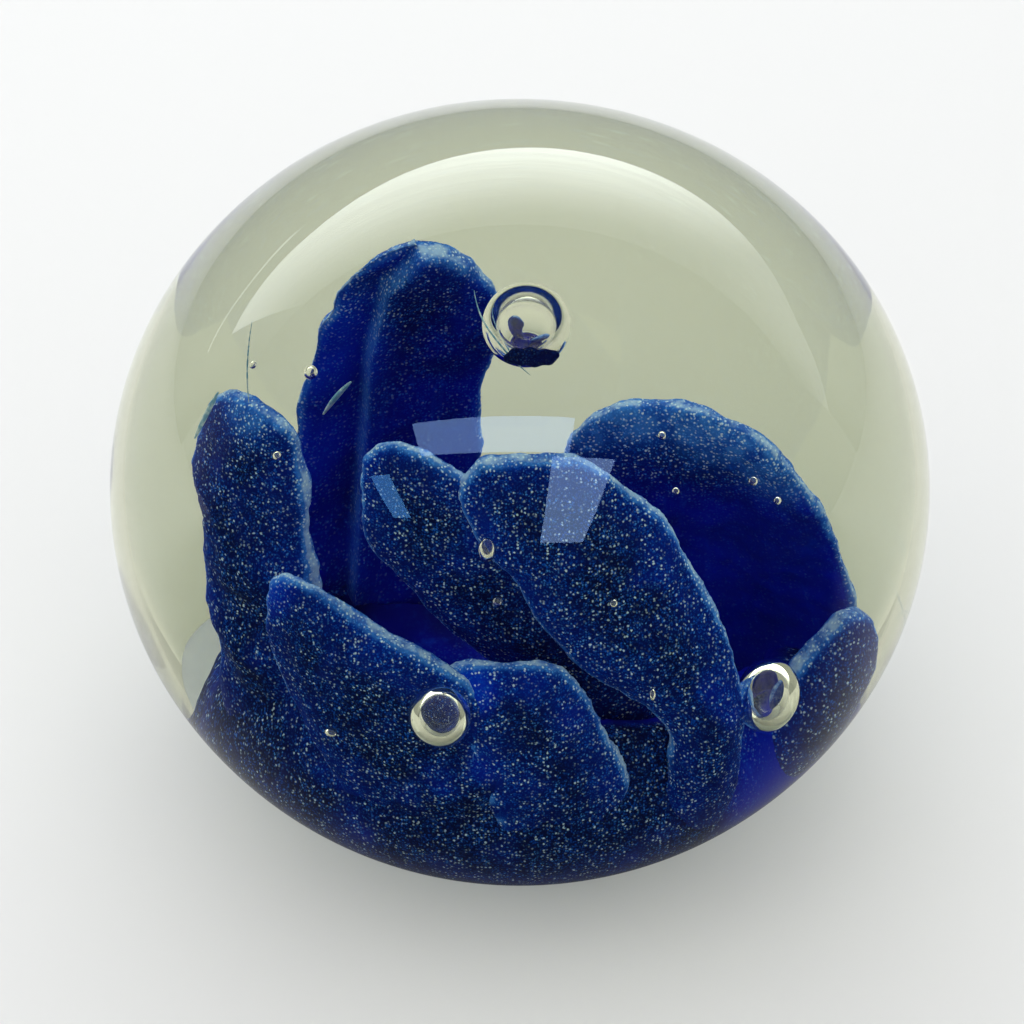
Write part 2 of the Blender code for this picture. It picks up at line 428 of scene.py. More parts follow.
@dataclass(frozen=True)
class FloorPaper:
    """Seamless white paper, which the dome's skin mirrors only from beside and behind the dome."""

    name: str = "floor_paper"
    colour: tuple = (0.70, 0.70, 0.70)
    unlit: tuple = (0.01, 0.01, 0.01)
    fade_front: float = -0.042
    fade_back: float = 0.020

    def make(self) -> Material:
        """Build the material.

        Returns:
            The material.
        """
        made, graph = new_material(self.name)
        back = graph.along("Y")
        hidden = graph.mirrored() * back.ramp(self.fade_front, self.fade_back, 1.0, 0.0)
        colour = graph.blend(hidden, self.colour, self.unlit)
        inputs = {"Base Color": colour, "Roughness": 0.9, "Specular IOR Level": 0.1}
        graph.finish(graph.add("ShaderNodeBsdfPrincipled", None, inputs))
        return made


# ---- modelling helpers


def deselect_all() -> None:
    """Leave every object unselected, in object mode."""
    if bpy.context.object and bpy.context.object.mode != "OBJECT":
        bpy.ops.object.mode_set(mode="OBJECT")
    bpy.ops.object.select_all(action="DESELECT")


def take(piece: Piece) -> Piece:
    """Make a piece the only selected and active object.

    Args:
        piece: The object.

    Returns:
        The same object.
    """
    deselect_all()
    piece.select_set(True)
    bpy.context.view_layer.objects.active = piece
    return piece


def link(piece: Piece) -> Piece:
    """Add an object to the scene."""
    bpy.context.scene.collection.objects.link(piece)
    return piece


def settle(piece: Piece) -> Piece:
    """Put a piece's place, turn and scale into its mesh.

    Args:
        piece: The object.

    Returns:
        The same object.
    """
    take(piece)
    bpy.ops.object.transform_apply(location=True, rotation=True, scale=True)
    return piece


def apply_modifier(piece: Piece, kind: str, **settings: object) -> None:
    """Add a modifier and apply it.

    Args:
        piece: The object to change.
        kind: The modifier's type.
        settings: The modifier's attributes.
    """
    take(piece)
    step = piece.modifiers.new(kind.lower(), kind)
    for name, value in settings.items():
        setattr(step, name, value)
    bpy.ops.object.modifier_apply(modifier=step.name)


def sphere(name: str, segments: int, rings: int) -> Piece:
    """Start a piece from a UV sphere of radius 1 at the origin.

    Args:
        name: The object's name.
        segments: Steps round it.
        rings: Steps from pole to pole.

    Returns:
        The object.
    """
    deselect_all()
    bpy.ops.mesh.primitive_uv_sphere_add(segments=segments, ring_count=rings, radius=1.0)
    made = bpy.context.object
    made.name = name
    return made


def surface_of(mesh: Mesh) -> tuple[Rows, Rows]:
    """Read a mesh.

    Args:
        mesh: The mesh.

    Returns:
        Its vertices and its vertex normals, both as rows.
    """
    points, normals = (np.empty(len(mesh.vertices) * 3) for _ in range(2))
    mesh.vertices.foreach_get("co", points)
    mesh.vertex_normals.foreach_get("vector", normals)
    return points.reshape(-1, 3), normals.reshape(-1, 3)


def move_points(mesh: Mesh, points: Rows) -> None:
    """Put a mesh's vertices at new places."""
    mesh.vertices.foreach_set("co", points.ravel())
    mesh.update()


def paint(mesh: Mesh, **layers: Rows) -> None:
    """Write numbers for every vertex.

    Args:
        mesh: The mesh.
        layers: The values of each layer, under the layer's name.
    """
    for name, values in layers.items():
        layer = mesh.attributes.new(name, "FLOAT", "POINT")
        layer.data.foreach_set("value", values.astype(np.float32))


def edit_all() -> None:
    """Go to edit mode with all of the active mesh selected."""
    bpy.ops.object.mode_set(mode="EDIT")
    bpy.ops.mesh.select_all(action="SELECT")


def smoothed(piece: Piece) -> Piece:
    """Shade a piece smooth all over."""
    take(piece)
    bpy.ops.object.shade_smooth()
    return piece


def ease(values: Rows, low: float, high: float) -> Rows:
    """Smooth step from 0 at low to 1 at high."""
    share = np.clip((values - low) / (high - low), 0.0, 1.0)
    return share * share * (3.0 - 2.0 * share)


def waves(points: Rows, size: float, seed: int, count: int = 7) -> Rows:
    """Smooth random waves between about -1 and 1.

    Args:
        points: Places, as rows.
        size: The typical wavelength.
        seed: The random seed.
        count: How many waves are summed.

    Returns:
        One number for each place.
    """
    chance = np.random.default_rng(seed)
    total = np.zeros(len(points))
    for _ in range(count):
        heading = chance.normal(size=3)
        heading *= 2.0 * math.pi / (size * np.linalg.norm(heading) * chance.uniform(0.7, 1.4))
        total += np.sin(points @ heading + chance.uniform(0.0, 2.0 * math.pi))
    return total / math.sqrt(count)


@dataclass(frozen=True)
class Ripple:
    """Random waves on a surface: their size, how many are summed and their height."""

    size: float
    count: int
    height: float

    def over(self, points: Rows, seed: int) -> Rows:
        """The height at each place."""
        return waves(points, self.size, seed, self.count) * self.height


def settle_in(piece: Piece, slot: Slot, finish: Material | None, *nodes: str) -> None:
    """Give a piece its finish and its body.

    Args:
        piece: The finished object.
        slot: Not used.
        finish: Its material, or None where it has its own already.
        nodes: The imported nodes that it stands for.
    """
    if finish is not None:
        piece.data.materials.clear()
        piece.data.materials.append(finish)
    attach(piece, BODY)
    if nodes:
        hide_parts(*nodes)


# ---- the glass


@dataclass(frozen=True)
class Bell:
    """Air trapped in the glass: its place and radius in millimetres, and how it is squashed."""

    place: Place
    radius: float
    squash: Place = (1.0, 1.0, 1.0)


@dataclass
class GlassDome:
    """The clear dome and every air bell in it.

    The equator is the height of its widest level, and the foot is its base's radius. The
    grind is how rough its base is.
    """

    equator: float = 0.0280
    foot: float = 0.0268
    arris: float = 0.0006
    segments: int = 192
    rings: int = 120
    unevenness: float = 0.000035
    grind: float = 0.45
    base_depth: float = 0.0001
    bell_steps: tuple[int, int] = (48, 32)
    seed_steps: tuple[int, int] = (20, 14)
    smooth_angle: float = 28.0
    outer_faces: int = 0
    bells: tuple[Bell, ...] = (
        Bell((0.5, -7.3, 49.6), 3.5, (1.0, 1.0, 0.97)),
        Bell((-5.9, -22.2, 24.0), 2.35, (1.0, 1.0, 1.05)),
        Bell((17.9, -14.3, 20.2), 2.5, (1.0, 1.0, 1.10)),
    )
    seeds: tuple[Bell, ...] = (
        Bell((-15.3, -2.0, 39.3), 0.55),
        Bell((-1.6, -16.8, 30.4), 0.38),
        Bell((7.0, -18.4, 31.5), 0.33),
        Bell((-18.0, -8.0, 36.7), 0.34),
        Bell((-13.9, -20.2, 20.9), 0.42, (1.2, 1.0, 0.8)),
        Bell((9.9, -20.6, 24.8), 0.38, (0.7, 1.0, 1.3)),
        Bell((10.2, -4.6, 35.4), 0.32),
        Bell((11.1, -6.5, 31.9), 0.28),
        Bell((16.5, -4.4, 31.1), 0.36),
        Bell((18.3, -5.5, 30.3), 0.30),
        Bell((-19.1, 2.0, 36.3), 0.30),
        Bell((-2.4, -16.4, 34.8), 0.85, (0.8, 0.6, 1.25)),
    )

    def build(self) -> Piece:
        """Model the dome and join the bells into it as voids.

        Returns:
            The finished object.
        """
        low, high = CAD_BOX
        radius = (high.x - low.x) / 2.0
        rise = high.z - self.equator
        drop = self.equator / math.sqrt(1.0 - (self.foot / radius) ** 2)
        dome = sphere("glass_dome", self.segments, self.rings)
        take(dome)
        bpy.ops.object.mode_set(mode="EDIT")
        for upper, height in ((True, rise), (False, drop)):
            self._select_half(dome, upper)
            bpy.ops.transform.resize(value=(1.0, 1.0, height), center_override=(0, 0, 0))
        bpy.ops.mesh.select_all(action="SELECT")
        bpy.ops.transform.resize(value=(radius, radius, 1.0), center_override=(0, 0, 0))
        bpy.ops.transform.translate(value=(0.0, 0.0, self.equator))
        bpy.ops.mesh.bisect(
            plane_co=(0, 0, 0), plane_no=(0, 0, 1), use_fill=True, clear_inner=True
        )
        self._select_foot(dome)
        bpy.ops.mesh.bevel(offset=self.arris, segments=3, affect="EDGES")
        bpy.ops.object.mode_set(mode="OBJECT")
        self._unround(dome)
        self.outer_faces = len(dome.data.polygons)
        for bell in self.bells:
            self._hollow(dome, bell, *self.bell_steps)
        for seed in self.seeds:
            self._hollow(dome, seed, *self.seed_steps)
        take(dome)
        bpy.ops.object.shade_smooth_by_angle(angle=math.radians(self.smooth_angle))
        return dome

    def _select_half(self, dome: Piece, upper: bool) -> None:
        """Select half of the sphere that the dome starts from, but not its widest row.

        Args:
            dome: The sphere, in edit mode.
            upper: Whether it is the half above the widest row.
        """
        bpy.ops.mesh.select_all(action="DESELECT")
        shape = bmesh.from_edit_mesh(dome.data)
        for vertex in shape.verts:
            height = vertex.co.z if upper else -vertex.co.z
            vertex.select = height > 1e-4
        shape.select_flush_mode()
        bmesh.update_edit_mesh(dome.data)

    def _select_foot(self, dome: Piece) -> None:
        """Select the edges round the ground base.

        Args:
            dome: The dome, in edit mode.
        """
        bpy.ops.mesh.select_mode(type="EDGE")
        bpy.ops.mesh.select_all(action="DESELECT")
        shape = bmesh.from_edit_mesh(dome.data)
        for edge in shape.edges:
            edge.select = all(abs(v.co.z) < SAME_PLACE for v in edge.verts)
        bmesh.update_edit_mesh(dome.data)

    def _unround(self, dome: Piece) -> None:
        """Give the hand-shaped dome its slight unevenness, inwards only.

        Args:
            dome: The dome, with no bells in it yet.
        """
        points, normals = surface_of(dome.data)
        lift = ease(points[:, 2], 0.002, 0.012)
        slack = self.unevenness * (waves(points, 0.045, 11, 5) - 2.2) * lift
        move_points(dome.data, points + normals * slack[:, None])

    def _hollow(self, dome: Piece, bell: Bell, segments: int, rings: int) -> None:
        """Join one bell to the dome as a void, whose faces look into the air.

        Args:
            dome: The dome.
            bell: The bell.
            segments: Steps round it.
            rings: Steps from pole to pole.
        """
        void = sphere("bell", segments, rings)
        edit_all()
        bpy.ops.transform.resize(value=tuple(bell.radius * MM * s for s in bell.squash))
        bpy.ops.transform.translate(value=tuple(c * MM for c in bell.place))
        bpy.ops.mesh.flip_normals()
        bpy.ops.object.mode_set(mode="OBJECT")
        take(dome)
        void.select_set(True)
        bpy.ops.object.join()

    def dress(self, dome: Piece) -> None:
        """Finish the dome and place it in the frame.

        Args:
            dome: The finished object, whose outside holds all of the glass's colour.
        """
        white = (1.0, 1.0, 1.0)
        dome.data.materials.clear()
        dome.data.materials.append(ClearGlass().make())
        dome.data.materials.append(ClearGlass("bell_wall_look", white, white).make())
        dome.data.materials.append(ClearGlass("ground_base_look", roughness=self.grind).make())
        walls = np.zeros(len(dome.data.polygons), dtype=np.int32)
        walls[self.outer_faces :] = 1
        walls[[face.index for face in dome.data.polygons if face.center.z < self.base_depth]] = 2
        dome.data.polygons.foreach_set("material_index", walls)
        settle_in(dome, Slot.CLEAR, None, "outer_gather", "inner_gather", "ground_stub")


# ---- the flower

GRIT = Ripple(0.0006, 12, 0.000025)


@dataclass(frozen=True)
class Zone:
    """A patch round a place that fades with distance, used for painted glow, painted highlights and
    less frit.
    """

    place: Place
    reach: float
    amount: float


def spread(points: Rows, zones: tuple[Zone, ...]) -> Rows:
    """Take the strongest zone at each place.

    Args:
        points: Places, as rows.
        zones: The zones.

    Returns:
        That zone's amount there, which fades with distance.
    """
    total = np.zeros(len(points))
    for zone in zones:
        far = np.linalg.norm(points - np.array(zone.place), axis=1)
        total = np.maximum(total, zone.amount * (1.0 - ease(far, 0.3 * zone.reach, zone.reach)))
    return total


def moved_by(moves: Pairs, share: Rows) -> Rows:
    """Read a list of moves.

    Args:
        moves: Pairs of a share of the height and the move there.
        share: Each place's share of the height.

    Returns:
        The move at each place, which is 0 where the list is empty.
    """
    return np.interp(share, *zip(*moves)) if moves else np.zeros(len(share))


@dataclass(frozen=True)
class Fold:
    """A crease down a petal's near side, which steps back on its left."""

    course: Pairs  # height and X of the crease, from low to high
    rise: float = 0.0008
    fall: float = 0.0014
    fade: float = 0.0030
    width: float = 0.00025
    # Width of the painted highlight along the crease.
    line: float = 0.0005


@dataclass(frozen=True)
class FritPetal:
    """One petal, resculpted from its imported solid.

    Across runs 90 degrees on from the facing. An edge's moves are pairs: the share of the
    height, and how far that edge moves across there. Its lean is how far all of it moves
    out there.
    """

    node: str
    root_facing: float
    tip_facing: float
    seed: int
    wobble: float = 0.00022
    inner_low: float = 0.0
    inner_high: float = 0.0
    near_edge: Pairs = ()
    far_edge: Pairs = ()
    lean: Pairs = ()
    # Patches of painted glow.
    zones: tuple[Zone, ...] = ()
    # Bands of pale specks that paint highlights along the upper edges.
    frost_and_highlight: tuple[Zone, ...] = ()
    fold: Fold | None = None
    voxel: float = 0.00024
    rim_width: float = 0.0010
    # How far in from the edges the painted glow reaches.
    margin_width: float = 0.0050
    dimples: Ripple = Ripple(0.0016, 12, 0.00005)
    grit: Ripple = GRIT

    def build(self) -> Piece:
        """Remesh, smooth and sculpt a copy of the node.

        Returns:
            The finished object.
        """
        source = bpy.data.objects[self.node]
        made = take(link(bpy.data.objects.new(self.node + "_glass", source.data.copy())))
        edit_all()
        bpy.ops.mesh.remove_doubles(threshold=SAME_PLACE)
        bpy.ops.mesh.subdivide(number_cuts=2)
        bpy.ops.object.mode_set(mode="OBJECT")
        self._move_edges(made.data)
        apply_modifier(made, "REMESH", mode="VOXEL", voxel_size=self.voxel)
        apply_modifier(made, "SMOOTH", factor=0.6, iterations=10)
        self._sculpt(made.data)
        return smoothed(made)

    def _share(self, points: Rows) -> Rows:
        """Each place's share of the petal's height."""
        low, high = points[:, 2].min(), points[:, 2].max()
        return (points[:, 2] - low) / (high - low)

    def _heading(self, points: Rows, turn: float) -> Rows:
        """Find the level direction at each place.

        Args:
            points: Places, as rows.
            turn: Degrees on from the facing there.

        Returns:
            Unit directions, as rows.
        """
        share = self._share(points)
        facing = self.root_facing + (self.tip_facing - self.root_facing) * share
        angle = np.radians(facing + turn)
        return np.stack([np.cos(angle), np.sin(angle), np.zeros(len(angle))], axis=1)

    def _move_edges(self, mesh: Mesh) -> None:
        """Move the petal's two edges across, with what lies between them, and lean it out.

        Args:
            mesh: The petal's mesh.
        """
        points, _ = surface_of(mesh)
        share, across = self._share(points), self._heading(points, 90.0)
        side = np.sum(points * across, axis=1)
        levels = np.linspace(0.0, 1.0, 25)
        bands = [side[np.abs(share - level) < 0.05] for level in levels]
        lows = np.interp(share, levels, [band.min() for band in bands])
        highs = np.interp(share, levels, [band.max() for band in bands])
        part = np.clip((side - lows) / (highs - lows), 0.0, 1.0)
        near, far, lean = (moved_by(m, share) for m in (self.near_edge, self.far_edge, self.lean))
        move = (1.0 - part) * near + part * far
        moved = points + across * move[:, None]
        move_points(mesh, moved + self._heading(points, 0.0) * lean[:, None])

    def _crease(self, points: Rows, out: Rows) -> tuple[Rows, Rows]:
        """Find what the fold does at each place.

        Args:
            points: Places, as rows.
            out: How far each place's normal points the way that the petal faces.

        Returns:
            How far each place moves back, and how near it is to the crease.
        """
        if self.fold is None:
            return np.zeros(len(points)), np.zeros(len(points))
        heights, places = zip(*self.fold.course)
        off = points[:, 0] - np.interp(points[:, 2], heights, places)
        step = ease(off, -self.fold.width, self.fold.width)
        near = -self.fold.rise * np.exp(-np.maximum(off, 0.0) / self.fold.fade)
        far = self.fold.fall * np.exp(np.minimum(off, 0.0) / self.fold.fade)
        side = ease(-out, -0.2, 0.4)
        back = (step * near + (1.0 - step) * far) * side
        return back, np.exp(-np.abs(off) / self.fold.line) * side

    def _sculpt(self, mesh: Mesh) -> None:
        """Shape the petal by hand-size moves and paint its frit and its rim, light and margin,
        which carry painted glow and highlights.

        Args:
            mesh: The petal's mesh.
        """
        points, normals = surface_of(mesh)
        out = np.sum(normals * self._heading(points, 0.0), axis=1)
        share = self._share(points)
        rim_points = points[np.abs(out) < 0.30]
        tree = kdtree.KDTree(len(rim_points))
        for index, point in enumerate(rim_points):
            tree.insert(point, index)
        tree.balance()
        reach = np.array([tree.find(point)[2] for point in points])
        # The rim band: frit, and in the material a painted glow and highlight.
        rim = (1.0 - ease(reach, 0.0, self.rim_width)) * ease(share, 0.10, 0.30)
        outer = ease(out, -0.45, 0.05)
        inner = self.inner_low + (self.inner_high - self.inner_low) * ease(share, 0.60, 0.85)
        frit = np.maximum(np.maximum(outer, rim), inner)
        # Painted glow near the edges, darker further in.
        margin = 1.0 - ease(reach, 0.0008, self.margin_width)
        back, line = self._crease(points, out)
        # Patches of painted glow.
        light = spread(points, self.zones)
        # Bands of painted highlight, and a painted highlight along the crease, join the rim.
        rim = np.maximum(np.maximum(rim, spread(points, self.frost_and_highlight)), 0.8 * line)
        bumps = waves(points, 0.0065, self.seed, 9) * self.wobble
        bumps += self.dimples.over(points, self.seed + 1)
        bumps += self.grit.over(points, self.seed + 2) * frit
        moved = points + normals * bumps[:, None]
        moved[:, 1] += back
        move_points(mesh, moved)
        paint(mesh, frit=frit, rim=rim, light=light, margin=margin)

    def dress(self, made: Piece, finish: Material) -> None:
        """Finish the petal and place it in the frame."""
        settle_in(made, Slot.FRIT, finish, self.node)


@dataclass
class Calyx:
    """The cobalt bowl that the petals grow out of.

    The wall is a list of pairs: a height, and the outer reach there at the front.
    """

    wall: Pairs = (
        (0.0016, 0.0150),
        (0.0030, 0.0176),
        (0.0060, 0.0198),
        (0.0100, 0.0206),
        (0.0135, 0.0200),
        (0.0165, 0.0188),
        (0.0190, 0.0176),
    )
    thickness: float = 0.0030
    floor: float = 0.0080
    dip: float = 0.0015
    back_share: float = 0.86
    back_rim: float = 0.0115
    front_rim: float = 0.0180
    voxel: float = 0.00030
    # Painted glow: royal blue low at the bowl's front right.
    glow: tuple[Zone, ...] = (Zone((0.0190, -0.0080, 0.0090), 0.0100, 1.0),)
    smooth: tuple[Zone, ...] = (Zone((0.0190, -0.0080, 0.0100), 0.0100, 0.85),)
    swell: Ripple = Ripple(0.008, 9, 0.00022)
    grit: Ripple = GRIT

    def build(self) -> Piece:
        """Shape the bowl from a sphere.

        Returns:
            The finished object.
        """
        bowl = sphere("cobalt_calyx", 180, 140)
        points, _ = surface_of(bowl.data)
        azimuth = np.arctan2(points[:, 1], points[:, 0])
        share = np.arccos(np.clip(points[:, 2], -1.0, 1.0)) / math.pi
        front = ease(-np.sin(azimuth), -0.35, 0.75)
        rim = self.back_rim + (self.front_rim - self.back_rim) * front
        rim = rim + 0.0006 * np.sin(3.0 * azimuth + 0.6) + 0.0004 * np.sin(5.0 * azimuth + 2.0)
        scale = self.back_share + (1.0 - self.back_share) * front
        scale = scale * (1.0 + 0.012 * np.sin(4.0 * azimuth + 1.0))
        self._loft(bowl.data, azimuth, share, scale, rim)
        apply_modifier(bowl, "REMESH", mode="VOXEL", voxel_size=self.voxel)
        apply_modifier(bowl, "SMOOTH", factor=0.6, iterations=14)
        self._sculpt(bowl.data)
        return smoothed(bowl)

    def _loft(self, mesh: Mesh, azimuth: Rows, share: Rows, scale: Rows, rim: Rows) -> None:
        """Move a sphere's rows onto the bowl's section.

        Args:
            mesh: The sphere's mesh.
            azimuth: Each vertex's azimuth in radians.
            share: Each vertex's share of the way down from the upper pole.
            scale: The wall's reach there as a share of its reach at the front.
            rim: The rim's height there.
        """
        heights, reaches = (np.array(column) for column in zip(*self.wall))
        foot, ledge = heights[0], self.floor + self.dip
        top = np.interp(rim, heights, reaches) * scale
        inner = top - self.thickness
        widen = np.clip(share / 0.30, 0.0, 1.0)
        climb = np.clip((share - 0.30) / 0.15, 0.0, 1.0)
        round_off = np.clip((share - 0.45) / 0.07, 0.0, 1.0)
        fall = np.clip((share - 0.52) / 0.34, 0.0, 1.0)
        under = np.clip((share - 0.86) / 0.14, 0.0, 1.0)
        height = self.floor + self.dip * widen**4 + (rim - ledge) * climb
        height += 0.25 * self.thickness * np.sin(math.pi * round_off) + (foot - rim) * fall
        height -= 0.0006 * np.sin(0.5 * math.pi * under)
        reach = inner * widen + self.thickness * (0.5 - 0.5 * np.cos(math.pi * round_off))
        falling = np.interp(height, heights, reaches) * scale
        reach = np.where(share > 0.52, falling * (1.0 - under), reach)
        points = np.stack([reach * np.cos(azimuth), reach * np.sin(azimuth), height], axis=1)
        move_points(mesh, points)

    def _sculpt(self, mesh: Mesh) -> None:
        """Roughen the bowl and paint its frit, its light (a painted glow) and its margin (lighter
        towards the bottom).

        Args:
            mesh: The bowl's mesh.
        """
        points, normals = surface_of(mesh)
        radial = points[:, :2] / np.linalg.norm(points[:, :2], axis=1).clip(1e-6)[:, None]
        out = np.sum(normals[:, :2] * radial, axis=1)
        frit = ease(out, -0.2, 0.25)
        bumps = self.swell.over(points, 71) + self.grit.over(points, 72)
        move_points(mesh, points + normals * bumps[:, None])
        paint(
            mesh,
            frit=frit * (1.0 - spread(points, self.smooth)),
            rim=np.zeros(len(points)),
            # A patch of painted glow.
            light=spread(points, self.glow),
            # Lighter towards the bottom of the bowl.
            margin=ease(points[:, 2], 0.010, 0.004),
        )

    def dress(self, bowl: Piece, finish: Material) -> None:
        """Finish the bowl and place it in the frame."""
        settle_in(bowl, Slot.DEEP, finish, "cobalt_ground")


@dataclass(frozen=True)
class Thread:
    """A fine thread of glass: its course and its thickest radius, both in millimetres."""

    name: str
    course: tuple[Place, ...]
    radius: float


@dataclass
class Tracery:
    """Threads of glass drawn off the petals, and the dark flake under the crown bell."""

    threads: tuple[Thread, ...] = (
        # Partly a painted reflection: a cord round the crown bell, drawn pale where it catches
        # light.
        Thread(
            "thread_crown",
            (
                (-3.6, -5.6, 51.9), (-3.3, -8.4, 51.7), (-1.9, -10.6, 51.2), (-0.4, -11.0, 49.0),
                (0.8, -10.2, 46.8),
            ),
            0.09,
        ),
        Thread(
            "thread_left",
            ((-20.2, -4.2, 38.6), (-20.9, -4.5, 41.5), (-21.3, -4.4, 44.0), (-21.6, -4.0, 48.0)),
            0.10,
        ),
        Thread(
            "thread_wisp",
            ((-24.2, -4.0, 35.1), (-23.9, -4.0, 36.6), (-23.4, -3.9, 38.2), (-23.0, -3.8, 39.6)),
            0.32,
        ),
        # Partly a painted highlight: a pale thread laid along the fold of the back left petal.
        Thread(
            "thread_back_highlight",
            ((-13.3, 3.0, 30.2), (-12.9, 2.8, 31.5), (-12.3, 2.6, 32.8), (-11.7, 2.4, 33.8)),
            0.26,
        ),
    )
    flake_place: Place = (0.0009, -0.0119, 0.0506)
    flake_size: Place = (0.0023, 0.0005, 0.0009)
    flake_frit: float = 0.25
    torn: Ripple = Ripple(0.0013, 10, 0.00016)

    def make(self, thread_finish: Material, flake_finish: Material) -> None:
        """Build and dress every thread and the flake.

        Args:
            thread_finish: The threads' material.
            flake_finish: The flake's material.
        """
        for thread in self.threads:
            made = self._drawn(thread)
            settle_in(made, Slot.FRIT, thread_finish)
            LOG.info("thread %s: %d faces", made.name, len(made.data.polygons))
        flake = self._flake()
        settle_in(flake, Slot.DEEP, flake_finish)
        LOG.info("flake: %d faces", len(flake.data.polygons))

    def _drawn(self, thread: Thread) -> Piece:
        """Draw one thread as a tube that tapers at both ends.

        Args:
            thread: The thread.

        Returns:
            The finished object.
        """
        line = bpy.data.curves.new(thread.name, "CURVE")
        line.dimensions = "3D"
        line.bevel_depth, line.bevel_resolution, line.use_fill_caps = thread.radius * MM, 3, True
        line.resolution_u = 12
        spline = line.splines.new("NURBS")
        spline.points.add(len(thread.course) - 1)
        spline.use_endpoint_u, spline.order_u = True, 4
        last = len(thread.course) - 1
        for index, place in enumerate(thread.course):
            spline.points[index].co = (*(c * MM for c in place), 1.0)
            spline.points[index].radius = 0.25 + 0.75 * math.sin(math.pi * index / last)
        take(link(bpy.data.objects.new(thread.name, line)))
        bpy.ops.object.convert(target="MESH")
        edit_all()
        bpy.ops.mesh.remove_doubles(threshold=0.1 * SAME_PLACE)
        bpy.ops.mesh.normals_make_consistent(inside=False)
        bpy.ops.object.mode_set(mode="OBJECT")
        return smoothed(bpy.context.object)

    def _flake(self) -> Piece:
        """Shape the ragged flake from a sphere.

        Returns:
            The finished object.
        """
        flake = sphere("cobalt_flake", 48, 32)
        edit_all()
        bpy.ops.transform.resize(value=self.flake_size)
        bpy.ops.transform.translate(value=self.flake_place)
        bpy.ops.object.mode_set(mode="OBJECT")
        points, normals = surface_of(flake.data)
        ragged = self.torn.over(points, 81)
        move_points(flake.data, points + normals * ragged[:, None])
        bare = np.zeros(len(points))
        paint(flake.data, frit=bare + self.flake_frit, rim=bare, light=bare, margin=bare)
        return smoothed(flake)


